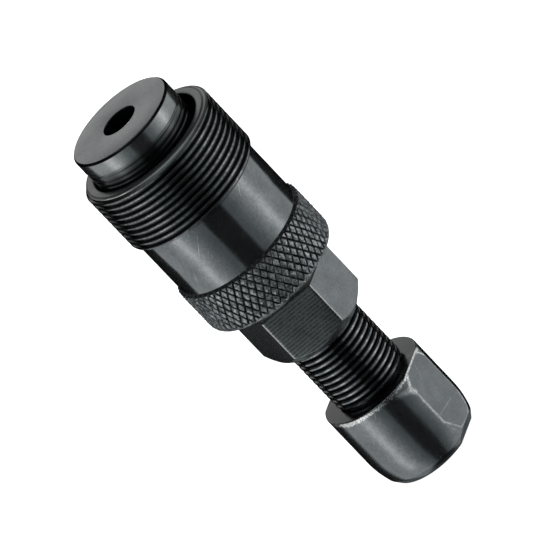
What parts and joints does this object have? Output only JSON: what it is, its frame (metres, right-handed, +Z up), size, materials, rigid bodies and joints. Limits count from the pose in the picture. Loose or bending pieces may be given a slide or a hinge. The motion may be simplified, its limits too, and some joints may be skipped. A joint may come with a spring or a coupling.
{
  "type": "bicycle crank puller",
  "caption": "Steel screw-type crank puller: threaded body with a knurled collar and hexagon, a drive screw with a round head, and a swivelling press pad.",
  "frame": {"origin": "middle of the end face of the screw's head, on which the tool stands", "axes": "+Z runs up the common axis of body, screw and thread, from the head to the press pad; two corners of the hexagon lie on X"},
  "size_m": [0.022, 0.022, 0.0675],
  "materials": {
    "body_black_oxide": "satin black oxide over turned and milled steel",
    "screw_black_oxide": "satin black oxide, worn to bare metal along the head's edges",
    "pad_black_oxide": "satin black oxide, faced",
    "spring_steel": "plain spring steel"
  },
  "bodies": {
    "puller_body": {"puller_body": "body_black_oxide"},
    "retaining_ring": {"retaining_ring": "spring_steel"},
    "drive_screw": {"drive_screw": "screw_black_oxide"},
    "press_pad": {"press_pad": "pad_black_oxide"}
  },
  "joints": [
    {"name": "screw_feed", "type": "slide", "parent": "puller_body", "child": "retaining_ring", "axis": [0, 0, 1], "range_m": [-0.0067, 0.011]},
    {"name": "screw_turn", "type": "hinge", "parent": "retaining_ring", "child": "drive_screw", "pos_m": [0, 0, 0], "axis": [0, 0, 1], "range_deg": [-2415, 3962]},
    {"name": "pad_swivel", "type": "hinge", "parent": "retaining_ring", "child": "press_pad", "pos_m": [-0.00041, -0.00008, 0.0635], "axis": [0, 0, 1], "continuous": true}
  ],
  "couplings": [
    {"joint": "screw_turn", "follows": "screw_feed", "rad_per_m": 6283.2}
  ]
}
